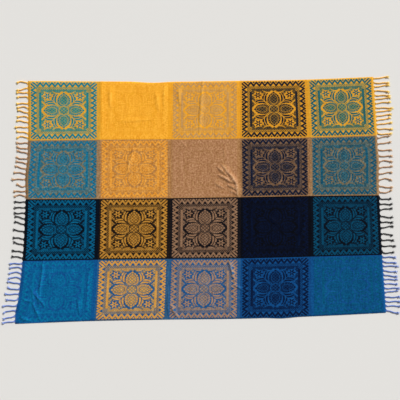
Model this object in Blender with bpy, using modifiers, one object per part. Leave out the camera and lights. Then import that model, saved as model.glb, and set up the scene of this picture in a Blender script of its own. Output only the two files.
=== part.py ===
"""A fringed jacquard-woven blanket, laid out flat on a floor with a few creases left in it.

The warp runs along X and the weft along Y. The origin is on the floor under the middle of the cloth,
and +Y is the far side. Sizes are in metres, and the tables read off the cloth as it lies are in millimetres.
"""

import math

import bmesh
import bpy
import numpy as np
from mathutils import Vector

MM = 0.001

# Driving sizes
CLOTH_LENGTH = 2.000          # along the warp, with the heading strips at both ends
CLOTH_WIDTH = 1.360
CLOTH_THICKNESS = 0.002
STRIPES = ("gold", "tan", "black", "blue")     # the warp stripes, all equally wide, from the far edge
STRIPE_WIDTH = CLOTH_WIDTH / len(STRIPES)
HEADING_WIDTH = 0.012         # the strip at each end that the fringe grows from
SCALLOP_DEPTH = 0.004         # how far the heading draws in between two cords
ROOT_WIDTH = 0.017
PIECE_GAP = 0.0003

# The mesh of the cloth: a plain grid in step with the stripes, which is halved twice beside the creases
GRID_CELLS = (50, 32)
REFINE_REACH = (0.038, 0.020)

# How far each crossing of the colour grid is pulled out of place, in millimetres.
# The lines across the cloth are 0.4 m apart, from its left end to its right end.
CROSSINGS_X = (-1.0, -0.6, -0.2, 0.2, 0.6, 1.0)
CROSSINGS_Y = (0.68, 0.34, 0.0, -0.34, -0.68)
PULL_ALONG_WARP_MM = {
    # line:            left, 1st, 2nd, 3rd, 4th, right
    "far edge":        (-4, 4, 12, 8, 0, -14),
    "gold to tan":     (4, 5, 8, 4, 6, -4),
    "tan to black":    (-3, 4, 6, 2, 2, -5),
    "black to blue":   (-14, -3, -1, -4, -4, -2),
    "near edge":       (-47, -20, -15, -12, -12, 7),
}
PULL_ALONG_WEFT_MM = {
    # line:            left, 1st, 2nd, 3rd, 4th, right
    "far edge":        (-1, -5, -8, -4, 2, 17),
    "gold to tan":     (-7, -5, -5, -2, 2, 12),
    "tan to black":    (-2, -3, -2, 1, 5, 6),
    "black to blue":   (-7, -4, -3, -4, 2, 8),
    "near edge":       (-10, 1, 4, 4, 12, 27),
}

# Short waves in the outline, which fade into the cloth over a set reach
EDGE_WAVE_REACH = 0.250
EDGE_WAVES_MM = (
    # edge,    centre along it, half length, how far out
    ("far",    -300,            140,         -6),
    ("left",    130,            130,          8),
    ("left",   -620,             80,          6),
    ("right",   190,            110,          5),
    ("near",    440,            110,          5),
)

# Creases, as ridges of the cloth
CREASES_MM = (
    # name,                 from x, y,     to x, y,       half width, height
    ("tan deep, upper",       82,  170,     134,  116,      20,       11),
    ("tan deep, lower",      136,  112,     178,   66,      20,       12),
    ("tan deep, tail",       180,   62,     186,    8,      17,        9),
    ("tan short",             86,   66,     116,   34,      15,        6),
    ("gold on tan",         -404,  264,    -434,  154,      16,        6),
    ("middle of gold",        -2,  660,     -22,  404,      15,        6),
    ("beside the middle",   -139,  618,    -138,  548,      14,        5),
    ("plain gold, left",    -532,  630,    -530,  536,      18,        5),
    ("plain gold, right",   -272,  600,    -256,  512,      18,        5),
    ("plain gold, across",  -464,  442,    -322,  450,      16,        3),
    ("blue corner, long",   -899, -366,    -918, -556,      16,        8),
    ("blue corner, slant",  -956, -514,    -894, -584,      16,        7),
    ("blue corner, curl",   -952, -580,    -918, -660,      18,        5),
    ("blue corner, tip",   -1018, -656,    -966, -676,      12,        4),
    ("blue, right side",    -702, -552,    -699, -628,      15,        4),
    ("blue stripe, upper",   138, -356,     158, -452,      16,        9),
    ("blue stripe, lower",   162, -492,     210, -518,      14,        6),
    ("blue stripe, left",   -190, -600,    -160, -656,      17,        7),
    ("blue gap",            -206, -530,    -206, -640,      14,        5),
    ("black, slant",         368, -116,     406, -150,      18,        4),
    ("black, right",         582, -100,     530, -256,      22,        4),
    ("last blue",            630, -594,     700, -536,      18,        5),
)
CREASE_END_SHARE = 0.65       # a crease's height at its two ends, against its middle

# How a cord lies: its share of the fringe's reach, and how far its tip drifts and its middle bows
# towards the far side. A drift that comes late hooks the tip.
CORD_LIES = {
    # name:      reach, drift, bow, lateness
    "level":     (1.00,   0,   0,   1.0),
    "long":      (1.12,   0,   0,   1.0),
    "lift":      (1.00,  11,   2,   1.0),
    "rise":      (0.92,  17,   2,   1.4),
    "hook_up":   (0.92,  14,  -3,   3.0),
    "curl_up":   (0.74,  20,  -4,   3.0),
    "arch":      (0.96,  -1,   9,   2.0),
    "wave":      (0.94,  -5,   5,   3.0),
    "droop":     (1.00,  -8,  -1,   1.0),
    "sag":       (0.95,   3,  -7,   2.0),
    "fall":      (0.94, -16,  -2,   1.3),
    "hook_down": (0.93, -15,   3,   3.0),
    "slump":     (0.95, -10,   6,   2.0),
}

# A cord's section from the heading out to its tip
CORD_SECTIONS_MM = (
    # name,        share of reach, width, height
    ("root",       0.10,            9.0,  4.5),
    ("twist",      0.28,            6.6,  5.5),
    ("twist",      0.52,            6.4,  5.5),
    ("twist",      0.76,            6.8,  5.8),
    ("knot",       0.84,           12.0,  9.0),
    ("tuft neck",  0.91,            8.0,  6.5),
    ("tuft end",   1.00,            9.5,  4.5),
)
CORD_TOP_SHARE = 0.66         # the top of a cord's section is narrower than its foot
COMMA_PITCHES = 0.3

# Each fringe's cords, from the far side to the near one. A comma leaves a little more room.
FRINGES = (
    # end,    stripe, reach in mm, how each cord lies
    ("left",  "gold",  71, "arch fall level wave , level arch rise arch lift long , lift arch"),
    ("left",  "tan",   72, "level hook_up rise hook_up rise rise lift long , curl_up level arch"),
    ("left",  "black", 66, "level level level rise rise , lift , lift rise , lift lift"),
    ("left",  "blue",  76, "level arch arch arch lift hook_up long sag , long hook_down fall droop"),
    ("right", "gold",  97, "lift level lift slump level lift lift long lift lift rise lift level sag"),
    ("right", "tan",   84, "rise lift level level arch lift lift arch droop hook_up"),
    ("right", "black", 76, "sag level lift droop level lift hook_down level long sag"),
    ("right", "blue",  84, "level droop long droop droop level level long lift long long long fall"),
)

STRIPE_COLOURS = {
    "gold": (0.86, 0.38, 0.03),
    "tan": (0.40, 0.20, 0.09),
    "black": (0.006, 0.008, 0.014),
    "blue": (0.05, 0.12, 0.40),
}
CLOTH_COLOUR = (0.08, 0.15, 0.20)


def blend(stations, where):
    """How much each of the evenly spaced stations counts in a smooth curve through them, at each place."""
    place = np.clip((where - stations[0]) / (stations[1] - stations[0]), 0, len(stations) - 1)
    left = np.minimum(place.astype(int), len(stations) - 2)
    f = (place - left)[:, None]
    own = np.eye(len(stations))
    slope = np.gradient(own, axis=0)
    return (own[left] * (1 + 2 * f) * (1 - f) ** 2 + slope[left] * f * (1 - f) ** 2
            + own[left + 1] * f ** 2 * (3 - 2 * f) + slope[left + 1] * f ** 2 * (f - 1))


def pull(table, x, y):
    """How far the cloth is pulled at its own flat coordinates x and y."""
    lines = np.array(list(table.values()), float) * MM
    return np.einsum("ni,ij,nj->n", blend(CROSSINGS_Y, y), lines, blend(CROSSINGS_X, x))


def lay_out(x, y):
    """Where the cloth's flat coordinates come to lie on the floor."""
    moved = {"x": x + pull(PULL_ALONG_WARP_MM, x, y), "y": y + pull(PULL_ALONG_WEFT_MM, x, y)}
    depth = {"far": CLOTH_WIDTH / 2 - y, "near": CLOTH_WIDTH / 2 + y,
             "right": CLOTH_LENGTH / 2 - x, "left": CLOTH_LENGTH / 2 + x}
    for edge, centre, half, out in EDGE_WAVES_MM:
        along = x if edge in ("far", "near") else y
        swell = np.cos(np.clip(np.abs(along / MM - centre) / half, 0, 1) * math.pi / 2) ** 2
        fade = np.clip(1 - depth[edge] / EDGE_WAVE_REACH, 0, 1) ** 2
        outwards = 1 if edge in ("far", "right") else -1
        moved["y" if edge in ("far", "near") else "x"] += outwards * out * MM * swell * fade
    return moved["x"], moved["y"]


def measure_crease(x, y, ends_mm):
    """How far points on the floor are from a crease's line, and what share of the way along it."""
    ax, ay, bx, by = (value * MM for value in ends_mm)
    length = math.hypot(bx - ax, by - ay)
    ux, uy = (bx - ax) / length, (by - ay) / length
    along = np.clip((x - ax) * ux + (y - ay) * uy, 0, length)
    return np.hypot(x - ax - along * ux, y - ay - along * uy), along / length


def height(x, y):
    """How high the creases lift the underside of the cloth off the floor."""
    lift = np.zeros_like(x)
    for _, *ends_mm, half, top in CREASES_MM:
        away, share = measure_crease(x, y, ends_mm)
        crest = top * MM * (CREASE_END_SHARE + (1 - CREASE_END_SHARE) * np.sin(math.pi * share))
        lift = np.maximum(lift, crest * np.cos(np.clip(away / (half * MM), 0, 1) * math.pi / 2) ** 2)
    return lift


def paint(name, colour):
    """A matt woven finish in one plain colour."""
    material = bpy.data.materials.new(name)
    material.use_nodes = True
    shader = material.node_tree.nodes["Principled BSDF"]
    shader.inputs["Base Color"].default_value = (*colour, 1)
    shader.inputs["Roughness"].default_value = 0.9
    shader.inputs["Metallic"].default_value = 0.0
    return material


def add_object(name, bm, material, collection):
    """Turns a bmesh into an object of its own in the collection."""
    mesh = bpy.data.meshes.new(name)
    bm.to_mesh(mesh)
    bm.free()
    piece = bpy.data.objects.new(name, mesh)
    piece.data.materials.append(material)
    collection.objects.link(piece)
    return piece


def flat_grid():
    """The cloth before it is laid out: a grid, halved beside the creases but for its two ends."""
    bm = bmesh.new()
    bmesh.ops.create_grid(bm, x_segments=GRID_CELLS[0], y_segments=GRID_CELLS[1], size=0.5)
    length = CLOTH_LENGTH - 2 * (HEADING_WIDTH + PIECE_GAP)
    bmesh.ops.scale(bm, vec=(length, CLOTH_WIDTH, 1), verts=bm.verts)
    for reach in REFINE_REACH:
        middles = np.array([(e.verts[0].co + e.verts[1].co) / 2 for e in bm.edges])
        x, y = lay_out(middles[:, 0], middles[:, 1])
        nearest = np.min([measure_crease(x, y, row[1:5])[0] for row in CREASES_MM], axis=0)
        chosen = (nearest < reach) & (np.abs(middles[:, 0]) < length / 2 - PIECE_GAP)
        edges = [e for e, is_chosen in zip(bm.edges, chosen) if is_chosen]
        bmesh.ops.subdivide_edges(bm, edges=edges, cuts=1, use_grid_fill=True)
    bmesh.ops.triangulate(bm, faces=[f for f in bm.faces if len(f.verts) > 4])
    return bm


def weave_cloth(material, collection):
    """The cloth, laid out with its creases and given its thickness upwards."""
    bm = flat_grid()
    flat = np.array([v.co for v in bm.verts])
    x, y = lay_out(flat[:, 0], flat[:, 1])
    for vert, *place in zip(bm.verts, x, y, height(x, y)):
        vert.co = place
    cloth = add_object("woven_cloth", bm, material, collection)
    solid = cloth.modifiers.new("Thickness", "SOLIDIFY")
    solid.thickness = CLOTH_THICKNESS
    solid.offset = 1


def cord_route(root, outwards, reach, lie):
    """The points on the floor that one cord's sections are centred on, after its root."""
    share, drift, bow, lateness = CORD_LIES[lie]
    steps = [u for _, u, _, _ in CORD_SECTIONS_MM]
    return [root + Vector((outwards * reach * share * u,
                           MM * (drift * u ** lateness + bow * 4 * u * (1 - u)))) for u in steps]


def grow_cord(bm, face, outwards, reach, lie):
    """Extrudes one cord out of its root face on the heading, lying on the floor along its route."""
    root = face.calc_center_median()
    # Which side and level each corner of the face is on, which its copies keep
    corners = [(1 if v.co.y > root.y else -1, v.co.z > root.z) for v in face.verts]
    route = cord_route(root.xy, outwards, reach, lie)
    behind = [root.xy, *route[:-1]]
    ahead = [*route[1:], route[-1]]
    for (_, _, width, thick), place, last, following in zip(CORD_SECTIONS_MM, route, behind, ahead):
        across = (following - last).normalized().orthogonal()
        if across.y < 0:
            across.negate()
        face = bmesh.ops.extrude_discrete_faces(bm, faces=[face])["faces"][0]
        for vert, (side, is_top) in zip(face.verts, corners):
            half = width * MM / 2 * (CORD_TOP_SHARE if is_top else 1)
            vert.co = (*(place + across * side * half), thick * MM if is_top else 0)


def root_places(far_y, lies):
    """The flat Y of each cord's root, spread over one stripe."""
    weights = [COMMA_PITCHES if lie == "," else 1 for lie in lies]
    pitch = STRIPE_WIDTH / sum(weights)
    middles = [far_y - (sum(weights[:n]) + weight / 2) * pitch for n, weight in enumerate(weights)]
    return [y for y, lie in zip(middles, lies) if lie != ","]


def heading_outline(outwards, far_y, roots):
    """The heading strip's outline in flat coordinates, and where in it each cord's pair of points starts."""
    outer = outwards * CLOTH_LENGTH / 2
    inner, hollow = outer - outwards * HEADING_WIDTH, outer - outwards * SCALLOP_DEPTH
    far, near = far_y - PIECE_GAP / 2, far_y - STRIPE_WIDTH + PIECE_GAP / 2
    cells = GRID_CELLS[1] // len(STRIPES)
    outline = [(inner, y) for y in np.linspace(near, far, cells + 1)]
    outline.append((hollow, far))
    starts = []
    for middle, next_middle in zip(roots, [*roots[1:], None]):
        starts.append(len(outline))
        outline.append((outer, middle + ROOT_WIDTH / 2))
        outline.append((outer, middle - ROOT_WIDTH / 2))
        outline.append((hollow, near if next_middle is None else (middle + next_middle) / 2))
    return np.array(outline), starts


def make_fringe(end, stripe, reach_mm, lies, material, collection):
    """One warp stripe's heading strip with its knotted cords, all lying on the floor."""
    outwards = 1 if end == "right" else -1
    far_y = CLOTH_WIDTH / 2 - STRIPES.index(stripe) * STRIPE_WIDTH
    lies = lies.split()
    outline, starts = heading_outline(outwards, far_y, root_places(far_y, lies))
    x, y = lay_out(outline[:, 0], outline[:, 1])
    bm = bmesh.new()
    rim = [bm.verts.new((px, py, 0)) for px, py in zip(x, y)]
    foot = bm.faces.new(rim)
    raised = bmesh.ops.extrude_face_region(bm, geom=[foot], use_keep_orig=True)["geom"]
    for vert in (item for item in raised if isinstance(item, bmesh.types.BMVert)):
        vert.co.z = CLOTH_THICKNESS
    for start, lie in zip(starts, [lie for lie in lies if lie != ","]):
        root_edge = bm.edges.get((rim[start], rim[start + 1]))
        root_face = next(f for f in root_edge.link_faces if f is not foot)
        grow_cord(bm, root_face, outwards, reach_mm * MM, lie)
    bmesh.ops.recalc_face_normals(bm, faces=bm.faces)
    add_object(f"fringe_{end}_{stripe}", bm, material, collection)


def main():
    for old in list(bpy.data.objects):
        bpy.data.objects.remove(old)
    collection = bpy.data.collections.new("fringed_blanket")
    bpy.context.scene.collection.children.link(collection)
    weave_cloth(paint("woven_cloth", CLOTH_COLOUR), collection)
    yarns = {stripe: paint(f"{stripe}_yarn", colour) for stripe, colour in STRIPE_COLOURS.items()}
    for end, stripe, reach_mm, lies in FRINGES:
        make_fringe(end, stripe, reach_mm, lies, yarns[stripe], collection)


main()
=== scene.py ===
"""The looks of a fringed jacquard-woven blanket, laid out flat with a few creases left in it.

The warp runs along X and the weft along Y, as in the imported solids, and +Y is the far side.
Sizes are in metres. The tables read off the cloth as it lies are in millimetres.
"""

import math
import random
from types import SimpleNamespace

import bmesh
import bpy
import numpy as np
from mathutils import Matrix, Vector, noise


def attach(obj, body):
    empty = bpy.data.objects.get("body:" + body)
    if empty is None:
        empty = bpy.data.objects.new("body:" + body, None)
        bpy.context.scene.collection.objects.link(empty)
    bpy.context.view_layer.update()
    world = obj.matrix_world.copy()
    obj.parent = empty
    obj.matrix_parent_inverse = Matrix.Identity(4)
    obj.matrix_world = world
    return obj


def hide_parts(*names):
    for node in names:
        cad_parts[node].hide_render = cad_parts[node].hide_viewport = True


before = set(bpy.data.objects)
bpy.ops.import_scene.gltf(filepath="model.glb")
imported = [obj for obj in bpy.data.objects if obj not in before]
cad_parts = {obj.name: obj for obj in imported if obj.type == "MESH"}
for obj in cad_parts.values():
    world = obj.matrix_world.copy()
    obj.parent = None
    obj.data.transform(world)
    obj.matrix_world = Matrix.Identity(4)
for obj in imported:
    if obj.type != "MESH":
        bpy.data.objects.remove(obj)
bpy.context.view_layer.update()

MM = 0.001

# The sizes that the solids are built from
CLOTH_LENGTH = 2.000      # along the warp
CLOTH_WIDTH = 1.360
CLOTH_THICKNESS = 0.002
STRIPES = ("gold", "tan", "black", "blue")  # the warp stripes, from the far edge
STRIPE_WIDTH = CLOTH_WIDTH / len(STRIPES)
BAND_WIDTH = 0.400        # a weft band, between two changes of the weft's colour

# How far each crossing of the colour grid is pulled out of place, in millimetres
CROSSINGS_X = (-1.0, -0.6, -0.2, 0.2, 0.6, 1.0)
CROSSINGS_Y = (0.68, 0.34, 0.0, -0.34, -0.68)
PULL_ALONG_WARP_MM = {
    # line:            left, 1st, 2nd, 3rd, 4th, right
    "far edge":        (-4, 4, 12, 8, 0, -14),
    "gold to tan":     (4, 5, 8, 4, 6, -4),
    "tan to black":    (-3, 4, 6, 2, 2, -5),
    "black to blue":   (-14, -3, -1, -4, -4, -2),
    "near edge":       (-47, -20, -15, -12, -12, 7),
}
PULL_ALONG_WEFT_MM = {
    # line:            left, 1st, 2nd, 3rd, 4th, right
    "far edge":        (-1, -5, -8, -4, 2, 17),
    "gold to tan":     (-7, -5, -5, -2, 2, 12),
    "tan to black":    (-2, -3, -2, 1, 5, 6),
    "black to blue":   (-7, -4, -3, -4, 2, 8),
    "near edge":       (-10, 1, 4, 4, 12, 27),
}

# Short waves in the outline, which fade into the cloth over a set reach
EDGE_WAVE_REACH = 0.250
EDGE_WAVES_MM = (
    # edge,  centre along it, half length, how far out
    ("far",   -300, 140, -6),
    ("left",   130, 130,  8),
    ("left",  -620,  80,  6),
    ("right",  190, 110,  5),
    ("near",   440, 110,  5),
)

# Creases, as ridges of the cloth
CREASES_MM = (
    # name,                from x, y,    to x, y, half width, height
    ("tan ridge, upper",    108,  178,   150,  120, 24, 10),
    ("tan ridge, middle",   140,  138,   182,   76, 26, 13),
    ("tan ridge, lower",    178,   92,   190,   14, 26, 11),
    ("tan fold, upper",      84,  168,   132,  120, 19,  8),
    ("tan fold, middle",     92,  122,   166,   84, 20,  9),
    ("tan fold, lower",     138,   70,   178,   48, 17,  8),
    ("tan fold, foot",      150,   38,   184,   18, 16,  6),
    ("tan fold, left",       66,   80,   106,   56, 16,  5),
    ("tan, upper right",    112,  286,   118,  236, 10,  2),
    ("tan, upper left",    -120,  318,  -104,  288,  9,  2),
    ("gold on tan",        -404,  264,  -434,  154, 20,  6),
    ("middle of gold",       -2,  660,   -22,  404, 20,  6),
    ("beside the middle",  -139,  618,  -138,  548, 18,  5),
    ("plain gold, left",   -532,  630,  -530,  536, 26,  4),
    ("plain gold, right",  -272,  600,  -256,  512, 26,  3),
    ("plain gold, across", -464,  442,  -322,  450, 20,  2),
    ("gold, left gap",     -582,  660,  -578,  400, 20,  2),
    ("gold, right gap",    -222,  645,  -226,  545, 20,  3),
    ("blue corner, long",  -899, -366,  -918, -556, 16,  8),
    ("blue corner, slant", -956, -514,  -894, -584, 15,  7),
    ("blue corner, curl",  -952, -580,  -918, -660, 16,  6),
    ("blue corner, tip",  -1018, -656,  -966, -676, 14,  5),
    ("blue corner, side",  -952, -500,  -950, -590, 13,  4),
    ("blue corner, pinch", -930, -540,  -906, -562,  9,  4),
    ("blue corner, edge", -1004, -560,  -962, -572, 13,  4),
    ("blue, right side",   -702, -552,  -699, -628, 15,  5),
    ("blue, right gap",    -648, -436,  -656, -590, 15,  4),
    ("blue stripe, upper",  138, -356,   158, -452, 18,  9),
    ("blue stripe, lower",  162, -492,   210, -518, 14,  6),
    ("blue stripe, left",  -190, -600,  -160, -656, 19,  8),
    ("blue gap",           -206, -530,  -206, -640, 14,  5),
    ("black, slant",        368, -116,   406, -150, 18,  4),
    ("black, right",        582, -100,   530, -256, 24,  4),
    ("last blue",           630, -594,   700, -536, 26,  3),
)
CREASE_TAIL = 0.24        # how far a crease runs on past its ends, as a share of its length
CREASE_END_WIDTH = 0.45   # its width where it runs out, against its middle
CREASE_ROUNDNESS = 1.2    # of its crest, from 0 for a sharp fold to 2 for a soft roll
CREASE_FULLNESS = 0.75    # how slowly it rises from its ends, from 0 for at once
CREASE_JOIN = 2.2         # how two that meet join, from 1 for their sum up to the higher alone
CREASE_LEAN = 0.18        # how much steeper it falls on one side, and gentler on the other
CREASE_WANDER_MM = (26, 4.5)  # how far apart the bends in a crease are, and how far they go
WANDER_LEVELS = (3, 4)    # of the random numbers for the bends
CREST_SHARPNESS = 3       # of the stretch along a crest that is painted paler, as a highlight
CREST_FULL_MM = 9         # how high a crest has to be to get the full painted highlight

# The cloth's own mesh, which is cut finer round its creases, and the low swells between them
CLOTH_CELL = 0.012
FINER_ROUND_CREASES_MM = (14, 4)  # how far past a crease's half width each finer cut reaches
SWELLS_MM = (
    # along X, along Y, height
    (150, 210, 1.6),
    (46, 120, 0.7),
)
SWELL_RANGE = (0.5, 0.9, 0.02)  # middle, swing and least, as shares of the height
SWELL_EDGE_FADE = 0.060
SWELL_AT_EDGE = 0.1       # the share of it that is left at the edge

# How a cord lies: its share of the fringe's reach, and how many millimetres its tip drifts and its
# middle bows towards the far side. A drift that comes late hooks the tip.
CORD_LIES = {
    # name:      reach, drift, bow, lateness
    "level":     (1.00,   0,  0, 1.0),
    "long":      (1.12,   0,  0, 1.0),
    "lift":      (1.00,  11,  2, 1.0),
    "rise":      (0.92,  17,  2, 1.4),
    "hook_up":   (0.92,  14, -3, 3.0),
    "curl_up":   (0.74,  20, -4, 3.0),
    "arch":      (0.96,  -1,  9, 2.0),
    "wave":      (0.94,  -5,  5, 3.0),
    "droop":     (1.00,  -8, -1, 1.0),
    "sag":       (0.95,   3, -7, 2.0),
    "fall":      (0.94, -16, -2, 1.3),
    "hook_down": (0.93, -15,  3, 3.0),
    "slump":     (0.95, -10,  6, 2.0),
}
COMMA_PITCHES = 0.3       # the room that a comma leaves, against a cord's
CORD_WAVE_MM = (1.6, 1.35)  # how far each cord waves, and how many waves there are in its length
TIP_BEND_MM = 5.0         # how far a knotted tip may turn aside

# Each fringe's cords, from the far side to the near one. A comma leaves a little more room.
FRINGES = (
    # end,    stripe, reach in mm, how each cord lies
    ("left",  "gold",  71, "arch fall level wave , level arch rise arch lift long , lift arch"),
    ("left",  "tan",   72, "level hook_up rise hook_up rise rise lift long , curl_up level arch"),
    ("left",  "black", 66, "level level level rise rise , lift , lift rise , lift lift"),
    ("left",  "blue",  76, "level arch arch arch lift hook_up long sag , long hook_down fall droop"),
    ("right", "gold",  97, "lift level lift slump level lift lift long lift lift rise lift level sag"),
    ("right", "tan",   84, "rise lift level level arch lift lift arch droop hook_up"),
    ("right", "black", 76, "sag level lift droop level lift hook_down level long sag"),
    ("right", "blue",  84, "level droop long droop droop level level long lift long long long fall"),
)

# The middle of a cord over the floor, from where it leaves the cloth to its tip
CORD_HEIGHTS_MM = (
    # share of reach, height
    (-0.03, 1.0),
    (0.14, 3.6),
    (0.74, 3.7),
    (0.84, 5.0),
    (0.93, 3.0),
    (1.00, 1.8),
)
ROUTE_POINTS = 28

# The parts of one cord, for the node tree that makes them
CORD_SIZES = {
    "Plies": 2,
    "Ply radius": 0.0021,
    "Ply offset": 0.0017,
    "Twist pitch": 0.0150,
    "Flare end": 0.17,            # where the loose yarns have gathered into the cord, as a share of it
    "Flare yarns": 9,
    "Flare width": 0.0240,
    "Flare yarn radius": 0.0008,
    "Knot place": 0.84,
    "Knot turns": 2.3,
    "Knot radius": 0.0038,
    "Knot length": 0.0050,
    "Knot yarn radius": 0.0021,
    "Tuft yarns": 13,
    "Tuft yarn radius": 0.0009,
    "Tuft spread": 0.0064,
    "Tuft unevenness": 0.0070,
}
PLY_START = 0.06          # where the plies start, under the loose yarns
TUBES = {
    # strand:    step between its rings, sides
    "ply":       (0.0017, 8),
    "flare":     (0.0024, 5),
    "tuft":      (0.0022, 5),
}
KNOT_MESH = (14, 8)       # points in one turn, and sides of its yarn
CHANCES = {
    # what varies:   lowest, highest, seed
    "twist":         (0.0, math.tau, 1),
    "flare lift":    (-0.0012, 0.0016, 5),
    "flare tone":    (0.0, 1.0, 6),
    "tuft turn":     (-0.4, 0.4, 7),
    "tuft fan":      (0.55, 1.15, 8),
    "tuft length":   (-1.0, 0.1, 9),
    "tuft tone":     (0.0, 1.0, 10),
    "knot tone":     (0.2, 1.0, 11),
    "knot turn":     (0.0, math.tau, 12),
}

# Colours, as the eye reads them, from 0 to 255
WARP_COLOURS = {
    "gold":   (243, 167, 46),
    "tan":    (168, 123, 81),
    "black":  (10, 13, 22),
    "blue":   (22, 82, 140),
}
WEFT_BANDS = (
    # from the left end
    (4, 112, 160),
    (246, 168, 62),
    (184, 137, 101),
    (5, 20, 48),
    (4, 84, 120),
)
WEFT_TINTS = {
    # what each stripe's warp, which shows between the threads, leaves of the weft's colour
    "gold":   (255, 255, 212),
    "tan":    (236, 226, 217),
    "black":  (235, 236, 234),
    "blue":   (232, 228, 226),
}
CORD_COLOURS = {
    # stripe: yarn, its worn tip
    "gold":   ((248, 192, 78), (255, 236, 132)),
    "tan":    ((188, 144, 102), (232, 200, 160)),
    "black":  ((16, 15, 18), (60, 56, 56)),
    "blue":   ((98, 126, 196), (196, 206, 236)),
}
FLOOR_COLOUR = (226, 224, 220)
EYE_GAMMA = 2.2

# The weave
THREAD_PITCH = 0.0016
BINDING_EVERY = 5         # threads
BINDING_SHOW = 0.26       # how much of the hidden yarn shows where it binds over a float
WEAVE = {
    # stripe: weft seen beside the blocks, and in their ground, warp seen in their figure, mottle
    "gold":   (0.06, 0.04, 0.02, 0.34),
    "tan":    (0.06, 0.30, 0.02, 1.05),
    "black":  (0.02, 0.02, 0.22, 0.50),
    "blue":   (0.12, 0.06, 0.08, 0.60),
}
UNEVENNESS = {
    # kind:      how many to a metre along X and Y, detail, roughness
    "weft yarn": (150, 18, 3, 0.7),
    "warp yarn": (18, 170, 3, 0.7),
    "patches":   (37.8, 9, 3, 0.5),
    "mottle":    (95, 95, 2, 0.6),
    "fuzz":      (900, 900, 2, 0.5),
    "puckers":   (60, 34, 2, 0.5),
}
EDGE_BEAD = 0.0045        # how far in the edge's paleness, a painted highlight along the hem and partly the paler yarn ends, has faded by half

# What each thing adds to a finish's tone, which is 1 for the yarn's plain colour, or to its relief
CLOTH_TONE = 0.30
# The tones of the crests and of the edge are painted highlights; the edge's is partly the paler yarn ends
CLOTH_TONES = {"weft yarn": 0.60, "warp yarn": 0.40, "mottle": 1.1, "patches": 0.30, "figure": 0.10,
               "highlit_crests": 0.32, "edge": 0.22}
CLOTH_RELIEF = {"warp threads": 1.0, "weft threads": 1.0, "fuzz": 0.5, "figure": 0.8, "puckers": 3.0}
TONE_TO_GAMMA = 1.3       # how much a darker tone deepens the colour
TONE_TO_SHADE = 0.6       # and how much it only darkens it
YARN_TONE = 0.58
YARN_TONES = {"strand": 0.30, "fuzz": 0.35, "patches": 0.15, "worn": 0.08}
YARN_FUZZ_SCALE = 1400.0
YARN_PATCH_SCALE = 90.0
SURFACES = {
    # finish: roughness, share of fuzz in it, bump's depth, its strength, specular, sheen, its roughness
    "cloth":  (0.68, 0.25, 0.0006, 0.45, 0.06, 0.02, 0.5),
    "yarn":   (0.72, 0.20, 0.0008, 0.60, 0.18, 0.25, 0.6),
}

# The block ornament. All but the block's own size is in shares of half a block, from its middle.
BLOCK_HALF_LENGTH = 0.1837
BLOCK_HALF_WIDTH = 0.1620
BLOCK_GROUND = 1.02       # how far its own ground reaches
BORDER = (0.825, 1.010)   # where the border starts and ends
BORDER_CORNER = 0.80      # where its corner starts
ZIGZAG_FROM = 0.82
ZIGZAG_POINTS = 0.985     # how far out its points are
ZIGZAG_SLOPE = 1.45
ZIGZAG_HALF = 0.052
TOOTH = 0.18              # from one point to the next
TOOTH_DOT = 0.028
CORNER_STRIPES = (0.058, 0.125, 0.038)  # the first one's middle, their pitch and half width
CORNER_LOOP = (1.265, 0.0180, 0.065)  # its middle, and the squares of half its length and width
FRAME = (0.62, 0.840)     # where the ground of the inner frame starts and ends
FIELD = (0.69, 0.67)      # how far the medallion's field reaches
SIDE_BAR = (0.722, 0.034, 0.64)  # middle, half width, where it ends
HEAD_LINE = (0.722, 0.020, 0.70)
SCALLOP_ROW = (0.20, 0.27, 0.66)  # one scallop's middle, their pitch, where the row ends
SCALLOP = (0.118, 0.085, 0.715, 0.72)  # half width, height, middle, where its foot is cut off
NETS = {
    # place:    size of a diamond of the weft, share of the ground that they cover
    "frame":    (0.060, 0.62),
    "scallops": (0.050, 0.90),
    "field":    (0.088, 0.86),
    "petal":    (0.104, 0.92),
    "disc":     (0.106, 0.84),
}
PETALS = {
    # petal: its oval's middle, half length and half width, and the same of its pointed tip
    "side":  ((0.363, 0.262, 0.198), (0.500, 0.178, 0.197)),
    "head":  ((0.353, 0.272, 0.216), (0.500, 0.182, 0.197)),
}
PETAL_RIBS = (0.30, 20)   # the place that they point to, and how many would go round it
PETAL_RIM = 0.088         # how far in the netted heart starts
PETAL_OUTLINE = (0.075, -0.010)  # how its half width grows outwards, from less than none
ROSETTE_PLACE = (0.500, 0.510)
ROSETTE_PETALS = 6
ROSETTE_RADII = {"eye": 0.026, "flower": 0.084, "petals": 0.038,
                 "ground": 0.138, "dots": 0.158, "dot": 0.022}
LEAF_ROUNDS = ((0.385, 0.200), (0.375, 0.216))  # what leaves bend round, side and head: middle, radius
LEAF_REACH = (0.36, 0.63, 0.40, 0.245)  # inner end, outer end, how it slants, last arc
LEAF_RIBS = (0.048, 0.080, 0.028)  # the first one's middle, their pitch and half width
LEAF_PARTING = 0.014
CREST = (0.9, 0.385, 0.028, 0.15, 0.33)  # a line's slope, place, half width, start and end
WING = (0.35, 0.545, 0.024, 0.12, 0.32)
DISC_RADIUS = 0.145
DISC_RING = (0.150, 0.010)
STEM = (0.030, 0.012, 0.37)  # how far from the diagonal its two lines are, half width, end

# The camera, over the middle of the cloth
CAMERA_PLACE = (-0.0875, -0.3038, 3.1266)
CAMERA_TURN_DEGREES = (5.316, -1.1, -0.527)
LENS_MM = 50
SENSOR_MM = 36

# The floor, the light and the fill
FLOOR_HALF_WIDTH = 40.0
KEY_LIGHT_TURN_DEGREES = (-35, 38, 0)
KEY_LIGHT_STRENGTH = 3.65
KEY_LIGHT_SOFTNESS_DEGREES = 14
FILL_STRENGTH = 0.21
HORIZON_STRENGTH = 0.76   # as pale as the lit floor, so that low views show no edge
HORIZON_HEIGHT = 0.50     # the sine of the angle at which the fill is plain again


# Cloth shape

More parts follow.
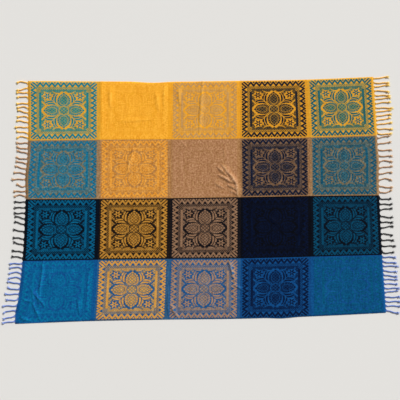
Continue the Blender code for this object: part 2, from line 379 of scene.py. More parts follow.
def blend(stations, where):
    """How much each of the evenly spaced stations counts in a smooth curve at each place."""
    place = np.clip((where - stations[0]) / (stations[1] - stations[0]), 0, len(stations) - 1)
    left = np.minimum(place.astype(int), len(stations) - 2)
    f = (place - left)[:, None]
    own = np.eye(len(stations))
    slope = np.gradient(own, axis=0)
    return (own[left] * (1 + 2 * f) * (1 - f) ** 2 + slope[left] * f * (1 - f) ** 2
            + own[left + 1] * f ** 2 * (3 - 2 * f) + slope[left + 1] * f ** 2 * (f - 1))


def pull(table, x, y):
    """How far the cloth is pulled at its own flat coordinates x and y."""
    lines = np.array(list(table.values()), float) * MM
    return np.einsum("ni,ij,nj->n", blend(CROSSINGS_Y, y), lines, blend(CROSSINGS_X, x))


def lay_out(x, y):
    """Where the cloth's flat coordinates come to lie on the floor."""
    moved = {"x": x + pull(PULL_ALONG_WARP_MM, x, y), "y": y + pull(PULL_ALONG_WEFT_MM, x, y)}
    depth = {"far": CLOTH_WIDTH / 2 - y, "near": CLOTH_WIDTH / 2 + y,
             "right": CLOTH_LENGTH / 2 - x, "left": CLOTH_LENGTH / 2 + x}
    for edge, centre, half, out in EDGE_WAVES_MM:
        along = x if edge in ("far", "near") else y
        swell = np.cos(np.clip(np.abs(along / MM - centre) / half, 0, 1) * math.pi / 2) ** 2
        fade = np.clip(1 - depth[edge] / EDGE_WAVE_REACH, 0, 1) ** 2
        outwards = 1 if edge in ("far", "right") else -1
        moved["y" if edge in ("far", "near") else "x"] += outwards * out * MM * swell * fade
    return moved["x"], moved["y"]


def measure_crease(x, y, ends_mm):
    """How far places are from a crease's line, what share of the way along it, and on which side."""
    ax, ay, bx, by = (value * MM for value in ends_mm)
    tail_x, tail_y = (bx - ax) * CREASE_TAIL, (by - ay) * CREASE_TAIL
    ax, ay, bx, by = ax - tail_x, ay - tail_y, bx + tail_x, by + tail_y
    whole = math.hypot(bx - ax, by - ay)
    ux, uy = (bx - ax) / whole, (by - ay) / whole
    along = np.clip((x - ax) * ux + (y - ay) * uy, 0, whole)
    aside_x, aside_y = x - ax - along * ux, y - ay - along * uy
    away = np.hypot(aside_x, aside_y)
    side = (aside_y * ux - aside_x * uy) / np.maximum(away, 1e-6)
    return away, along / whole, side


def uneven(x, y, size, level):
    """Smooth random numbers round 0 for places, which change over a size."""
    return np.array([noise.noise(Vector((px / size, py / size, level))) for px, py in zip(x, y)])


def raise_creases(x, y):
    """How high the creases lift the cloth, and how strong a painted highlight each place gets from a crest,
    up to 1 on it.
    """
    apart, far = (value * MM for value in CREASE_WANDER_MM)
    aside_x, aside_y = (far * uneven(x, y, apart, level) for level in WANDER_LEVELS)
    x, y = x + aside_x, y + aside_y
    lift, highlit_crests = np.zeros_like(x), np.zeros_like(x)
    for _, *ends_mm, half, top in CREASES_MM:
        away, share, side = measure_crease(x, y, ends_mm)
        full = np.sin(math.pi * share) ** CREASE_FULLNESS
        top_here = top * MM * full
        tapered = CREASE_END_WIDTH + (1 - CREASE_END_WIDTH) * full
        out = np.clip(away / (half * MM * (1 + CREASE_LEAN * side) * tapered), 0, 1)
        profile = (1 - out) ** 2 * (1 + CREASE_ROUNDNESS * out)
        here = top_here * profile
        # A painted highlight along the crest, stronger the higher the crease
        crest_highlight = profile ** CREST_SHARPNESS * top_here / (CREST_FULL_MM * MM)
        highlit_crests = np.where(here > lift, crest_highlight, highlit_crests)
        lift = (lift ** CREASE_JOIN + here ** CREASE_JOIN) ** (1 / CREASE_JOIN)
    return lift, np.clip(highlit_crests, 0, 1)


def swell_height(x, y):
    """The low, uneven swells of cloth that was folded up before it was laid out."""
    middle, swing, least = SWELL_RANGE
    lift = np.zeros_like(x)
    for level, (along_x, along_y, top) in enumerate(SWELLS_MM):
        rough = uneven(x / (along_x * MM), y / (along_y * MM), 1.0, level)
        lift += top * MM * np.clip(middle + swing * rough, least, None)
    inwards = np.minimum(CLOTH_LENGTH / 2 - np.abs(x), CLOTH_WIDTH / 2 - np.abs(y))
    return lift * np.clip(inwards / SWELL_EDGE_FADE, SWELL_AT_EDGE, 1)


def cut_finer(bm, margin_mm):
    """Halves the cells of the flat cloth that lie on a crease, or closer to one than a margin."""
    bm.faces.ensure_lookup_table()
    middles = np.array([face.calc_center_median() for face in bm.faces])
    x, y = lay_out(middles[:, 0], middles[:, 1])
    near = np.zeros(len(x), bool)
    for _, *ends_mm, half, _ in CREASES_MM:
        near |= measure_crease(x, y, ends_mm)[0] < (half + margin_mm) * MM
    edges = {edge for number in np.flatnonzero(near) for edge in bm.faces[number].edges}
    bmesh.ops.subdivide_edges(bm, edges=list(edges), cuts=1, use_grid_fill=True)
    bmesh.ops.triangulate(bm, faces=[face for face in bm.faces if len(face.verts) > 4])


def make_cloth(finish):
    """The cloth as one sheet, laid out with its creases and given its thickness upwards."""
    bm = bmesh.new()
    cells = [round(side / CLOTH_CELL) for side in (CLOTH_LENGTH, CLOTH_WIDTH)]
    bmesh.ops.create_grid(bm, x_segments=cells[0], y_segments=cells[1], size=0.5)
    bmesh.ops.scale(bm, vec=(CLOTH_LENGTH, CLOTH_WIDTH, 1), verts=bm.verts)
    for margin_mm in FINER_ROUND_CREASES_MM:
        cut_finer(bm, margin_mm)
    flat_map = bm.loops.layers.uv.new("flat")
    for face in bm.faces:
        face.smooth = True
        for loop in face.loops:
            flat = loop.vert.co
            loop[flat_map].uv = (flat.x / CLOTH_LENGTH + 0.5, flat.y / CLOTH_WIDTH + 0.5)
    flat = np.array([v.co for v in bm.verts])
    x, y = lay_out(flat[:, 0], flat[:, 1])
    lift, highlit_crests = raise_creases(x, y)
    lift += swell_height(flat[:, 0], flat[:, 1])
    # The painted highlight along the crests goes with the mesh to the cloth's shader
    crest_highlight = bm.verts.layers.float.new("crest_highlight")
    for vert, crest, *place in zip(bm.verts, highlit_crests, x, y, lift):
        vert.co = place
        vert[crest_highlight] = crest
    cloth = add_mesh_object("blanket_cloth", bm, finish)
    solid = cloth.modifiers.new("Thickness", "SOLIDIFY")
    solid.thickness = CLOTH_THICKNESS
    solid.offset = 1
    return cloth


def add_object(name, data):
    """A new object in the scene."""
    made = bpy.data.objects.new(name, data)
    bpy.context.scene.collection.objects.link(made)
    return made


def add_mesh_object(name, bm, finish):
    """Turns a bmesh into an object of its own."""
    mesh = bpy.data.meshes.new(name)
    bm.to_mesh(mesh)
    bm.free()
    mesh.materials.append(finish)
    return add_object(name, mesh)


# Sums that are worked out by nodes

def operator(operation, turned=False):
    """A method for Field that makes the node of an operator."""
    if turned:
        return lambda field, other: calculate(operation, other, field)
    return lambda field, *others: calculate(operation, field, *others)


class Field:
    """The output of a node, which sums and products can be written with."""

    def __init__(self, socket):
        self.socket = socket

    __add__, __radd__ = operator("ADD"), operator("ADD", turned=True)
    __sub__, __rsub__ = operator("SUBTRACT"), operator("SUBTRACT", turned=True)
    __mul__, __truediv__, __pow__ = operator("MULTIPLY"), operator("DIVIDE"), operator("POWER")
    __abs__ = operator("ABSOLUTE")


def feed(socket, value):
    """Links a field into a socket, or sets the socket to a plain value."""
    if isinstance(value, Field):
        socket.id_data.links.new(value.socket, socket)
    else:
        socket.default_value = value


def calculate(operation, *terms):
    """A Math node, or a Vector Math node if a term is a vector, which is then the first."""
    sockets = [term.socket for term in terms if isinstance(term, Field)]
    has_vector = any(socket.type == "VECTOR" for socket in sockets)
    kind = "ShaderNodeVectorMath" if has_vector else "ShaderNodeMath"
    node = sockets[0].id_data.nodes.new(kind)
    if has_vector and operation == "MULTIPLY":
        node.operation = "SCALE"
        inputs = node.inputs["Vector"], node.inputs["Scale"]
    else:
        node.operation = operation
        inputs = node.inputs
    for socket, term in zip(inputs, terms):
        feed(socket, term)
    return Field(node.outputs[0])


def lower(a, b):
    """The lower of two numbers, or where two covers overlap."""
    return calculate("MINIMUM", a, b)


def higher(a, b):
    """The higher of two numbers, or two covers together."""
    return calculate("MAXIMUM", a, b)


def clamped(value, scale, shift):
    """value * scale + shift, kept between 0 and 1."""
    result = calculate("MULTIPLY_ADD", value, scale, shift)
    result.socket.node.use_clamp = True
    return result


def length(x, y):
    """How far a place is from the middle."""
    return calculate("SQRT", x * x + y * y)


def to_multiple(value, step):
    """How far a value is from the nearest multiple of a step."""
    return calculate("PINGPONG", value, step / 2)


def inside(distance, soft=0.012):
    """1 where a signed distance is below 0, and 0 beyond, with a soft rim."""
    return clamped(distance, -1 / soft, 0.5)


def on_line(distance, half):
    """1 on a line's width, where distance is measured from its middle."""
    return inside(abs(distance) - half)


def erase(base, cover):
    """base, with what cover lies over taken out of it."""
    return lower(base, 1 - cover)


def add_node(tree, kind, inputs=None, **settings):
    """A new node with its settings made and its inputs linked or set, by name or number."""
    node = tree.nodes.new(kind)
    for name, value in settings.items():
        setattr(node, name, value)
    for name, value in (inputs or {}).items():
        feed(node.inputs[name], value)
    return node


def add_field(tree, kind, inputs=None, output=0, **settings):
    """One output of a new node."""
    return Field(add_node(tree, kind, inputs, **settings).outputs[output])


# Block ornament: x and y run from the middle of a block to 1 at its edges

def zigzag_border(along, out):
    """A zigzag line, with a dot in each gap on its outer side."""
    tooth = to_multiple(along, TOOTH)
    line = on_line(out - ZIGZAG_POINTS + tooth * ZIGZAG_SLOPE, ZIGZAG_HALF)
    dot = inside(length(tooth - TOOTH / 2, out - ZIGZAG_POINTS) - TOOTH_DOT)
    return lower(higher(line, dot), inside(ZIGZAG_FROM - out))


def corner_leaves(x, y):
    """Long leaf loops that point into a block's corner."""
    first, pitch, half = CORNER_STRIPES
    middle, length_squared, width_squared = CORNER_LOOP
    p, q = (x + y) * math.sqrt(0.5), abs(x - y)
    stripe = on_line(to_multiple(q - first, pitch), half)
    reach = (p - middle) ** 2 / length_squared + q * q / width_squared - 1
    return lower(stripe, inside(reach, soft=0.2))


def speckle(x, y, size, share):
    """Small diamonds of the weft, which cover a share of the ground."""
    away = higher(to_multiple(x + y, size), to_multiple(x - y, size))
    return inside(away - share * size / 2, soft=size / 3)


def bar(along, across, middle, half, end):
    """A straight bar beside an axis of the block, up to its end."""
    return lower(on_line(across - middle, half), inside(along - end))


def inner_frame(x, y):
    """Side bars, a line above and below, and a row of scallops."""
    first, pitch, end = SCALLOP_ROW
    half, height, middle, foot = SCALLOP
    hump = (to_multiple(x - first, pitch) / half) ** 2 + ((y - middle) / height) ** 2 - 1
    hump = lower(inside(hump, soft=0.4), inside(higher(x - end, y - foot)))
    grain = speckle(x, y + 0.02, *NETS["scallops"])
    return higher(bar(y, x, *SIDE_BAR), lower(higher(bar(x, y, *HEAD_LINE), hump), grain))


def petal(along, across, oval, tip):
    """How far outside a petal, an oval with a pointed tip, a place is."""
    middle, half_length, half_width = oval
    round_part = (length((along - middle) / half_length, across / half_width) - 1) * half_width
    middle, half_length, half_width = tip
    pointed_part = (abs(along - middle) / half_length + across / half_width - 1) * (half_width * 0.7)
    return lower(round_part, pointed_part)


def petal_filling(along, across, edge):
    """A netted heart, ringed by a thin line and by a row of short ribs."""
    centre, count = PETAL_RIBS
    turn = calculate("ARCTAN2", across, along - centre)
    ribs = clamped(calculate("COSINE", turn * count), 1.6, 1.75)
    heart = speckle(along, across, *NETS["petal"])
    within = inside(edge + PETAL_RIM)
    filling = higher(erase(ribs, within), lower(heart, within))
    return lower(erase(filling, on_line(edge + PETAL_RIM, 0.007)), inside(edge + 0.008))


def rosette(x, y):
    """A small flower, and the round ground that it stands on, with a ring of dots."""
    dx, dy = x - ROSETTE_PLACE[0], y - ROSETTE_PLACE[1]
    r = length(dx, dy)
    wave = calculate("COSINE", calculate("ARCTAN2", dy, dx) * ROSETTE_PETALS)
    flower = inside(r - ROSETTE_RADII["flower"] - wave * ROSETTE_RADII["petals"])
    dots = inside(abs(r - ROSETTE_RADII["dots"]) - wave * ROSETTE_RADII["dot"])
    ground = higher(inside(r - ROSETTE_RADII["ground"]), dots)
    return ground, erase(flower, inside(r - ROSETTE_RADII["eye"]))


def curved_leaves(x, y):
    """The ground of each quarter's leaves, and the leaves, in parallel arcs round the petals."""
    (side, side_radius), (head, head_radius) = LEAF_ROUNDS
    inner_end, outer_end, slant, last = LEAF_REACH
    first, pitch, half = LEAF_RIBS
    around = lower(length(x - side, y) - side_radius, length(x, y - head) - head_radius)
    ends = higher(inner_end - x - y, higher(x, y) - outer_end + around * slant)
    reach = higher(ends, around - last)
    ribs = lower(on_line(to_multiple(around - first, pitch), half), 1 - on_line(x - y, LEAF_PARTING))
    return inside(reach - 0.02), lower(ribs, inside(higher(reach, 0.018 - around)))


def slanting_line(along, out, slope, place, half, start, end):
    """A short line of the ground that slants across the field."""
    return lower(on_line(out - along * slope - place, half), inside(higher(along - end, start - along)))


def medallion(x, y):
    """Four pointed petals round a netted centre, with curved leaves and a rosette in each quarter."""
    figure = speckle(x, y, *NETS["field"])
    leaf_ground, leaves = curved_leaves(x, y)
    figure = higher(erase(figure, leaf_ground), leaves)
    ground, flower = rosette(x, y)
    figure = higher(erase(figure, ground), flower)
    figure = erase(figure, higher(slanting_line(y, x, *CREST), slanting_line(x, y, *WING)))

    side, head = petal(x, y, *PETALS["side"]), petal(y, x, *PETALS["head"])
    nearest = lower(side, head)
    filling = higher(petal_filling(x, y, side), petal_filling(y, x, head))
    figure = higher(erase(figure, inside(nearest)), filling)
    figure = erase(figure, inside(abs(nearest) - clamped(higher(x, y), *PETAL_OUTLINE)))

    r = length(x, y)
    within = inside(r - DISC_RADIUS)
    figure = higher(erase(figure, within), lower(within, speckle(x, y, *NETS["disc"])))
    ring, ring_half = DISC_RING
    figure = erase(figure, on_line(r - ring, ring_half))
    aside, half, end = STEM
    return erase(figure, lower(on_line(abs(x - y) - aside, half), inside(higher(r - end, ring - r))))


def block_figure(x, y):
    """How much of the weft's figure shows at a place of a block, from 0 to 1."""
    m = higher(x, y)
    corner = inside(BORDER_CORNER - lower(x, y))
    zigzag = higher(zigzag_border(x, y), zigzag_border(y, x))
    border = higher(erase(zigzag, corner), lower(corner_leaves(x, y), corner))
    border = lower(border, inside(higher(m - BORDER[1], BORDER[0] - m)))
    frame_ground = inside(higher(m - FRAME[1], FRAME[0] - higher(x, y * 0.97)))
    frame_ground = lower(speckle(x + 0.015, y, *NETS["frame"]), frame_ground)
    field = inside(higher(x - FIELD[0], y - FIELD[1]))
    figure = higher(lower(medallion(x, y), field), inner_frame(x, y))
    return higher(higher(border, erase(frame_ground, field)), figure)


# Finishes

def linear(colour):
    """A colour of 0 to 255, as the eye reads it, in the renderer's own linear numbers."""
    shares = (value / 255 for value in colour)
    return (*(s / 12.92 if s <= 0.04045 else ((s + 0.055) / 1.055) ** 2.4 for s in shares), 1)


def new_finish(name):
    """A material with its shader, and nothing else in it yet."""
    material = bpy.data.materials.new(name)
    material.use_nodes = True
    return material, material.node_tree, material.node_tree.nodes["Principled BSDF"]


def add_bands(tree, place, colours):
    """Equally wide bands of flat colour along a place from 0 to 1, still as the eye reads them."""
    node = add_node(tree, "ShaderNodeValToRGB", {"Fac": place})
    ramp = node.color_ramp
    ramp.interpolation = "CONSTANT"
    for number, colour in enumerate(colours):
        stop = ramp.elements[0] if number == 0 else ramp.elements.new(number / len(colours))
        stop.color = (*(value / 255 for value in colour), 1)
    ramp.elements.remove(ramp.elements[-1])
    return Field(node.outputs["Color"])


def mix_colours(tree, share, a, b, blend_type="MIX"):
    """Colour a, mixed with a share of b."""
    inputs = {0: share, 6: a, 7: b}
    return add_field(tree, "ShaderNodeMix", inputs, 2, data_type="RGBA", blend_type=blend_type)


def shade(tree, colour, tone):
    """A colour made darker by a tone below 1, or lighter by one above it."""
    return mix_colours(tree, 1.0, colour, make_vector(tree, tone, tone, tone), "MULTIPLY")


def add_noise(tree, place, scale, detail=2.0, roughness=0.5):
    """Smooth random numbers from 0 to 1."""
    inputs = {"Vector": place, "Scale": scale, "Detail": detail, "Roughness": roughness}
    return add_field(tree, "ShaderNodeTexNoise", inputs)


def make_vector(tree, x, y, z=0.0):
    """A vector from its three numbers."""
    return add_field(tree, "ShaderNodeCombineXYZ", {"X": x, "Y": y, "Z": z})


def split_vector(tree, vector):
    """The three numbers of a vector."""
    return [Field(part) for part in add_node(tree, "ShaderNodeSeparateXYZ", {0: vector}).outputs]


def attribute(tree, name):
    """A number that the mesh carries."""
    return add_field(tree, "ShaderNodeAttribute", output="Fac", attribute_name=name)


def weigh(base, shares, fields):
    """A base, with its share of each named field added."""
    return sum((fields[name] * share for name, share in shares.items()), base)


def set_surface(tree, shader, finish, colour, fuzz, relief):
    """The colour, roughness, relief and gloss of a finish."""
    rough, fuzz_share, depth, strength, specular, sheen, sheen_rough = SURFACES[finish]
    feed(shader.inputs["Base Color"], colour)
    feed(shader.inputs["Roughness"], fuzz * fuzz_share + rough)
    bump = {"Height": relief, "Distance": depth, "Strength": strength}
    feed(shader.inputs["Normal"], add_field(tree, "ShaderNodeBump", bump))
    shader.inputs["Specular IOR Level"].default_value = specular
    shader.inputs["Sheen Weight"].default_value = sheen
    shader.inputs["Sheen Roughness"].default_value = sheen_rough


def woven_colour(tree, u, v, x, y):
    """The colour of the yarn on top, its stripe's mottle, and where the weft's figure is."""
    # Threads are counted from the middle of the cloth, and the ornament is woven thread by thread
    weft_number = calculate("FLOOR", x / THREAD_PITCH)
    warp_number = calculate("FLOOR", y / THREAD_PITCH)
    cell_x, cell_y = (weft_number + 0.5) * THREAD_PITCH, (warp_number + 0.5) * THREAD_PITCH
    block_x = to_multiple(cell_x, BAND_WIDTH) / BLOCK_HALF_LENGTH
    block_y = to_multiple(cell_y + STRIPE_WIDTH / 2, STRIPE_WIDTH) / BLOCK_HALF_WIDTH
    figure = block_figure(block_x, block_y)
    # Where one yarn floats on the upper face, the other floats on the lower
    upwards = split_vector(tree, add_field(tree, "ShaderNodeNewGeometry", output="True Normal"))[2]
    lower_face = calculate("LESS_THAN", upwards, -0.5)
    figure = figure + lower_face * (1 - figure * 2)

    # A float is bound down at every fifth thread, two threads further along in each row
    thread = calculate("FLOORED_MODULO", weft_number + warp_number * 2, BINDING_EVERY)
    bound = calculate("LESS_THAN", thread, 0.5) * BINDING_SHOW
    columns = zip(*(WEAVE[stripe] for stripe in reversed(STRIPES)))
    beside, ground, in_figure, mottle = (
        add_bands(tree, v, [(255 * share,) * 3 for share in column]) for column in columns)
    in_block = inside(higher(block_x, block_y) - BLOCK_GROUND)
    weft_seen = higher(beside + (ground - beside) * in_block, bound)
    weft_share = figure * (1 - higher(in_figure, bound)) + (1 - figure) * weft_seen

    warp, tint = (add_bands(tree, v, [colours[stripe] for stripe in reversed(STRIPES)])
                  for colours in (WARP_COLOURS, WEFT_TINTS))
    weft = mix_colours(tree, 1.0, add_bands(tree, u, WEFT_BANDS), tint, "MULTIPLY")
    return mix_colours(tree, weft_share, warp, weft), mottle, figure


def jacquard_finish():
    """The cloth: warp stripes crossed by weft bands, uneven yarn, and crests and edges painted paler as
    highlights, the edges partly being paler yarn ends.
    """
    material, tree, shader = new_finish("Jacquard cotton")
    u, v, _ = split_vector(tree, add_field(tree, "ShaderNodeUVMap", uv_map="flat"))
    x, y = (u - 0.5) * CLOTH_LENGTH, (v - 0.5) * CLOTH_WIDTH
    colour, mottle, figure = woven_colour(tree, u, v, x, y)

    # Floats of the two yarns catch the light differently, and no thread is quite like the next.
    # Crests are painted paler as highlights, and so is the outer edge, which is partly the paler yarn ends.
    fields = {
        name: add_noise(tree, make_vector(tree, x * along_x, y * along_y), 1.0, detail, roughness)
        for name, (along_x, along_y, detail, roughness) in UNEVENNESS.items()}
    from_edge = lower(CLOTH_LENGTH / 2 - abs(x), CLOTH_WIDTH / 2 - abs(y))
    fields.update({
        "mottle": (fields["mottle"] - 0.5) * mottle,
        "figure": figure,
        # A painted highlight along the crests
        "highlit_crests": attribute(tree, "crest_highlight"),
        # A painted highlight along the hem, partly the paler yarn ends where the cloth stops
        "edge": inside(from_edge - EDGE_BEAD, soft=EDGE_BEAD),
        "warp threads": to_multiple(y, THREAD_PITCH) / THREAD_PITCH,
        "weft threads": to_multiple(x, THREAD_PITCH) / THREAD_PITCH,
    })
    tone = weigh(CLOTH_TONE, CLOTH_TONES, fields)
    depth = (1 - tone) * TONE_TO_GAMMA + EYE_GAMMA
    colour = add_field(tree, "ShaderNodeGamma", {"Color": colour, "Gamma": depth})
    colour = shade(tree, colour, tone * TONE_TO_SHADE + (1 - TONE_TO_SHADE))
    set_surface(tree, shader, "cloth", colour, fields["fuzz"], weigh(0.0, CLOTH_RELIEF, fields))
    return material


def yarn_finish(name, colour, tip_colour):
    """A loosely spun yarn, with a little of a lighter colour at its worn tips."""
    material, tree, shader = new_finish(name)
    place = add_field(tree, "ShaderNodeTexCoord", output="Object")
    fuzz = add_noise(tree, place, YARN_FUZZ_SCALE, detail=3.0)
    patches = add_noise(tree, place, YARN_PATCH_SCALE)
    worn = clamped(attribute(tree, "along") + patches * 0.20, 4.5, -3.95)
    fields = {"strand": attribute(tree, "tone"), "fuzz": fuzz, "patches": patches, "worn": worn}
    base = mix_colours(tree, worn * 0.9, linear(colour), linear(tip_colour))
    base = shade(tree, base, weigh(YARN_TONE, YARN_TONES, fields))
    set_surface(tree, shader, "yarn", base, fuzz, fuzz)
    return material


# Fringes

def random_number(tree, number, low, high, seed):
    """A random number for each numbered strand."""
    inputs = {2: low, 3: high, 7: number, 8: seed}
    return add_field(tree, "FunctionNodeRandomValue", inputs, 1, data_type="FLOAT")


def store(tree, geometry, name, value):
    """Geometry whose points carry a number, which a finish can read by its name."""
    inputs = {"Geometry": geometry, "Name": name, "Value": value}
    return add_field(tree, "GeometryNodeStoreNamedAttribute", inputs, data_type="FLOAT", domain="POINT")


def sweep(tree, curve, offset, radius, sides):
    """Tubes along curves that are first moved aside by an offset."""
    moved = add_field(tree, "GeometryNodeSetPosition", {"Geometry": curve, "Offset": offset})
    ring = add_field(tree, "GeometryNodeCurvePrimitiveCircle", {"Resolution": sides, "Radius": 1.0})
    inputs = {"Curve": moved, "Profile Curve": ring, "Scale": radius, "Fill Caps": True}
    return add_field(tree, "GeometryNodeCurveToMesh", inputs)


def strands(tree, route, start, end, step, number):
    """Copies of one stretch of each route, with the copies' numbers."""
    stretch = add_field(tree, "GeometryNodeTrimCurve", {"Curve": route, "Start": start, "End": end})
    evenly = add_field(tree, "GeometryNodeResampleCurve", {"Curve": stretch, "Length": step}, mode="LENGTH")
    copies = add_node(tree, "GeometryNodeDuplicateElements",
                      {"Geometry": evenly, "Amount": number}, domain="SPLINE")
    return Field(copies.outputs["Geometry"]), Field(copies.outputs["Duplicate Index"])


def cord_places(tree):
    """What a strand's points know: their share of its length, its directions and its number."""
    spline = add_node(tree, "GeometryNodeSplineParameter")
    ahead = add_field(tree, "GeometryNodeInputTangent")
    return SimpleNamespace(
        share=Field(spline.outputs["Factor"]),
        run=Field(spline.outputs["Length"]),
        ahead=ahead,
        across=calculate("NORMALIZE", calculate("CROSS_PRODUCT", ahead, (0, 0, 1))),
        upwards=make_vector(tree, 0.0, 0.0, 1.0),
        strand=add_field(tree, "GeometryNodeCurveOfPoint", output="Curve Index"))


def add_plies(tree, given, at, routes):
    """The twisted plies, up to the knot."""
    step, sides = TUBES["ply"]
    curve, ply = strands(tree, routes, PLY_START, given["Knot place"], step, given["Plies"])
    # One turn is drawn for all the cords, so that a cord's plies stay opposite each other
    first_turn = random_number(tree, at.strand * 0, *CHANCES["twist"])
    turn = at.run / given["Twist pitch"] * math.tau + ply * math.tau / given["Plies"] + first_turn
    reach = given["Ply offset"] * clamped(at.share, 6.0, 0.3)
    aside = at.across * (calculate("COSINE", turn) * reach)
    above = at.upwards * (calculate("SINE", turn) * reach)
    curve = store(tree, curve, "tone", random_number(tree, at.strand, 0.0, 1.0, given["Seed"]))
    return sweep(tree, curve, aside + above, given["Ply radius"], sides)


def add_flare(tree, given, at, routes):
    """Loose yarns that gather from the cloth's edge into the cord."""
    step, sides = TUBES["flare"]
    curve, yarn = strands(tree, routes, 0.0, given["Flare end"], step, given["Flare yarns"])
    place = yarn / (given["Flare yarns"] - 1) - 0.5
    spread = given["Flare width"] * (1 - at.share) ** 1.7 + given["Ply offset"]
    lift = at.share * random_number(tree, at.strand, *CHANCES["flare lift"])
    curve = store(tree, curve, "tone", random_number(tree, at.strand, *CHANCES["flare tone"]))
    radius = given["Flare yarn radius"] * (at.share * 0.5 + 0.8)
    return sweep(tree, curve, at.across * (place * spread) + at.upwards * lift, radius, sides)


def add_tuft(tree, given, at, routes):
    """The frayed ends past the knot."""
    step, sides = TUBES["tuft"]
    curve, end = strands(tree, routes, given["Knot place"], 1.0, step, given["Tuft yarns"])
    turn = end * math.tau / given["Tuft yarns"] + random_number(tree, at.strand, *CHANCES["tuft turn"])
    fan = given["Tuft spread"] * (at.share * random_number(tree, at.strand, *CHANCES["tuft fan"]) + 0.25)
    aside = at.across * (calculate("COSINE", turn) * fan)
    above = at.upwards * (calculate("SINE", turn) * fan * 0.45)
    short = given["Tuft unevenness"] * random_number(tree, at.strand, *CHANCES["tuft length"])
    curve = store(tree, curve, "tone", random_number(tree, at.strand, *CHANCES["tuft tone"]))
    radius = given["Tuft yarn radius"] * (1.25 - at.share * 0.8)
    return sweep(tree, curve, aside + above + at.ahead * (at.share * short), radius, sides)


def add_knots(tree, given, at, routes):
    """A knot on each cord, from one coil that is laid along the cord."""
    points_a_turn, sides = KNOT_MESH
    radius, height = given["Knot radius"], given["Knot length"]
    spiral = add_field(tree, "GeometryNodeCurveSpiral",
                       {"Resolution": points_a_turn, "Rotations": given["Knot turns"],
                        "Start Radius": radius, "End Radius": radius, "Height": height})
    coil = sweep(tree, spiral, at.upwards * (height * -0.5), given["Knot yarn radius"], sides)

    # Each place is the first end of a short stretch of a route, from where the knot goes
    place = given["Knot place"]
    cut = add_field(tree, "GeometryNodeTrimCurve", {"Curve": routes, "Start": place, "End": place + 0.05})
    pair = add_field(tree, "GeometryNodeResampleCurve", {"Curve": cut, "Count": 2}, mode="COUNT")
    points = add_node(tree, "GeometryNodeCurveToPoints", {"Curve": pair}, mode="EVALUATED").outputs
    number = add_field(tree, "GeometryNodeInputIndex")
    second = calculate("GREATER_THAN", calculate("FLOORED_MODULO", number, 2), 0.5)
    firsts = add_field(tree, "GeometryNodeDeleteGeometry",
                       {"Geometry": Field(points["Points"]), "Selection": second}, domain="POINT")
    firsts = store(tree, firsts, "tone", random_number(tree, number, *CHANCES["knot tone"]))
    lying = add_field(tree, "FunctionNodeAlignRotationToVector",
                      {"Vector": Field(points["Tangent"])}, axis="Z")
    roll = make_vector(tree, 0.0, 0.0, random_number(tree, number, *CHANCES["knot turn"]))
    rolled = add_field(tree, "FunctionNodeRotateRotation",
                       {"Rotation": lying, "Rotate By": roll}, rotation_space="LOCAL")
    return add_field(tree, "GeometryNodeInstanceOnPoints",
                     {"Points": firsts, "Instance": coil, "Rotation": rolled})


def lift_off_floor(tree, geometry):
    """Geometry with nothing left below the floor."""
    x, y, z = split_vector(tree, add_field(tree, "GeometryNodeInputPosition"))
    inputs = {"Geometry": geometry, "Position": make_vector(tree, x, y, higher(z, 0.0))}
    return add_field(tree, "GeometryNodeSetPosition", inputs)


def cord_tree():
    """The node tree that turns routes on the floor into twisted, knotted and tufted cords."""
    tree = bpy.data.node_groups.new("Knotted fringe", "GeometryNodeTree")
    kinds = {name: "Int" if isinstance(value, int) else "Float" for name, value in CORD_SIZES.items()}
    for name, kind in {"Geometry": "Geometry", **kinds, "Seed": "Int", "Yarn": "Material"}.items():
        tree.interface.new_socket(name, in_out="INPUT", socket_type=f"NodeSocket{kind}")
    tree.interface.new_socket("Geometry", in_out="OUTPUT", socket_type="NodeSocketGeometry")
    sockets = tree.nodes.new("NodeGroupInput").outputs
    given = {socket.name: Field(socket) for socket in sockets if socket.name}

    at = cord_places(tree)
    routes = store(tree, given["Geometry"], "along", at.share)
    joined = tree.nodes.new("GeometryNodeJoinGeometry")
    for add_part in (add_plies, add_flare, add_tuft, add_knots):
        tree.links.new(add_part(tree, given, at, routes).socket, joined.inputs[0])
    realized = add_field(tree, "GeometryNodeRealizeInstances", {"Geometry": Field(joined.outputs[0])})
    smooth = add_field(tree, "GeometryNodeSetShadeSmooth", {"Geometry": lift_off_floor(tree, realized)})
    painted = add_field(tree, "GeometryNodeSetMaterial", {"Geometry": smooth, "Material": given["Yarn"]})
    feed(tree.nodes.new("NodeGroupOutput").inputs[0], painted)
    return tree


def root_places(far_y, lies):
    """The flat Y of each cord's root, spread over one stripe."""
    weights = [COMMA_PITCHES if lie == "," else 1 for lie in lies]
    pitch = STRIPE_WIDTH / sum(weights)
    middles = [far_y - (sum(weights[:n]) + weight / 2) * pitch for n, weight in enumerate(weights)]
    return [y for y, lie in zip(middles, lies) if lie != ","]


def cord_route(root, outwards, reach, lie, chance):
    """Points along the middle of one cord, from just inside the cloth to its tip."""
    share, drift, bow, lateness = CORD_LIES[lie]
    steps, heights = zip(*CORD_HEIGHTS_MM)
    wave, waves = CORD_WAVE_MM
    start, bend = chance.uniform(0, math.tau), chance.uniform(-TIP_BEND_MM, TIP_BEND_MM)
    route = []
    for u in np.linspace(steps[0], steps[-1], ROUTE_POINTS):
        away = drift * max(u, 0) ** lateness + bow * 4 * u * (1 - u)
        away += wave * min(max(4 * u, 0), 1) * math.sin(math.tau * waves * u + start)
        away += bend * (max(u - CORD_SIZES["Knot place"], 0) / (1 - CORD_SIZES["Knot place"])) ** 1.5
        route.append((root[0] + outwards * reach * share * u, root[1] + MM * away,
                      MM * float(np.interp(u, steps, heights))))
    return route


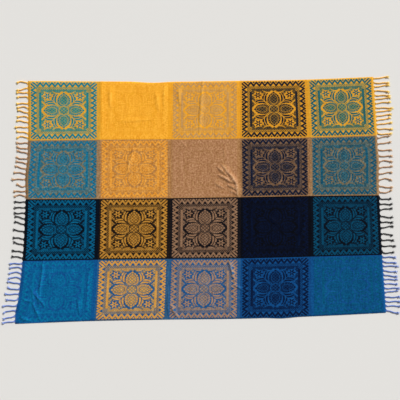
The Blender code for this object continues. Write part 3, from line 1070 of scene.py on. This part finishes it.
def make_fringe(tree, end, stripe, reach_mm, lies, finish):
    """One warp stripe's row of cords, grown by the node tree along their routes."""
    outwards = 1 if end == "right" else -1
    far_y = CLOTH_WIDTH / 2 - STRIPES.index(stripe) * STRIPE_WIDTH
    lies = lies.split()
    cords = [lie for lie in lies if lie != ","]
    roots = np.array(root_places(far_y, lies))
    root_x, root_y = lay_out(np.full_like(roots, outwards * CLOTH_LENGTH / 2), roots)
    routes = bpy.data.curves.new("cord routes", "CURVE")
    routes.dimensions = "3D"
    chance = random.Random(f"{end} {stripe}")
    for x, y, lie in zip(root_x, root_y, cords):
        points = cord_route((x, y), outwards, reach_mm * MM, lie, chance)
        spline = routes.splines.new("POLY")
        spline.points.add(len(points) - 1)
        for point, place in zip(spline.points, points):
            point.co = (*place, 1)
    guide = add_object("cord routes", routes)

    grow = guide.modifiers.new("Cords", "NODES")
    grow.node_group = tree
    inputs = (item for item in tree.interface.items_tree if item.in_out == "INPUT")
    sockets = {item.name: item.identifier for item in inputs}
    for name, value in CORD_SIZES.items():
        grow[sockets[name]] = value
    grow[sockets["Seed"]] = len(lies) + STRIPES.index(stripe)
    grow[sockets["Yarn"]] = finish
    evaluated = guide.evaluated_get(bpy.context.evaluated_depsgraph_get())
    grown = bpy.data.meshes.new_from_object(evaluated)
    bpy.data.objects.remove(guide)
    return add_object(f"cords_{end}_{stripe}", grown)


# Studio

def make_studio():
    """A pale floor, one broad soft light from the far right, a fill all round, and the camera."""
    bm = bmesh.new()
    bmesh.ops.create_grid(bm, x_segments=1, y_segments=1, size=FLOOR_HALF_WIDTH)
    material, _, shader = new_finish("Pale floor")
    shader.inputs["Base Color"].default_value = linear(FLOOR_COLOUR)
    shader.inputs["Roughness"].default_value = 0.85
    floor = add_mesh_object("floor", bm, material)

    light = bpy.data.lights.new("Key light", "SUN")
    light.energy = KEY_LIGHT_STRENGTH
    light.angle = math.radians(KEY_LIGHT_SOFTNESS_DEGREES)
    key = add_object("Key light", light)
    key.rotation_euler = [math.radians(angle) for angle in KEY_LIGHT_TURN_DEGREES]

    scene = bpy.context.scene
    world = bpy.data.worlds.new("Soft room")
    world.use_nodes = True
    tree = world.node_tree
    height = split_vector(tree, add_field(tree, "ShaderNodeTexCoord", output="Generated"))[2]
    low = clamped(abs(height), -1 / HORIZON_HEIGHT, 1.0)
    fill = tree.nodes["Background"]
    fill.inputs["Color"].default_value = (1, 1, 1, 1)
    feed(fill.inputs["Strength"], low * (HORIZON_STRENGTH - FILL_STRENGTH) + FILL_STRENGTH)
    scene.world = world
    scene.view_settings.view_transform = "Standard"

    lens = bpy.data.cameras.new("Camera")
    lens.lens = LENS_MM
    lens.sensor_width = SENSOR_MM
    camera = add_object("Camera", lens)
    camera.location = CAMERA_PLACE
    camera.rotation_euler = [math.radians(angle) for angle in CAMERA_TURN_DEGREES]
    scene.camera = camera


def main():
    """Makes the studio, the cloth and its fringes, and ties them to the solids."""
    make_studio()
    cloth = make_cloth(jacquard_finish())
    yarns = {stripe: yarn_finish(f"{stripe.capitalize()} yarn", *CORD_COLOURS[stripe]) for stripe in STRIPES}
    tree = cord_tree()
    for end, stripe, reach_mm, lies in FRINGES:
        piece = make_fringe(tree, end, stripe, reach_mm, lies, yarns[stripe])
        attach(piece, "root")
        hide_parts(f"fringe_{end}_{stripe}")
    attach(cloth, "root")
    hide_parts("woven_cloth")


main()
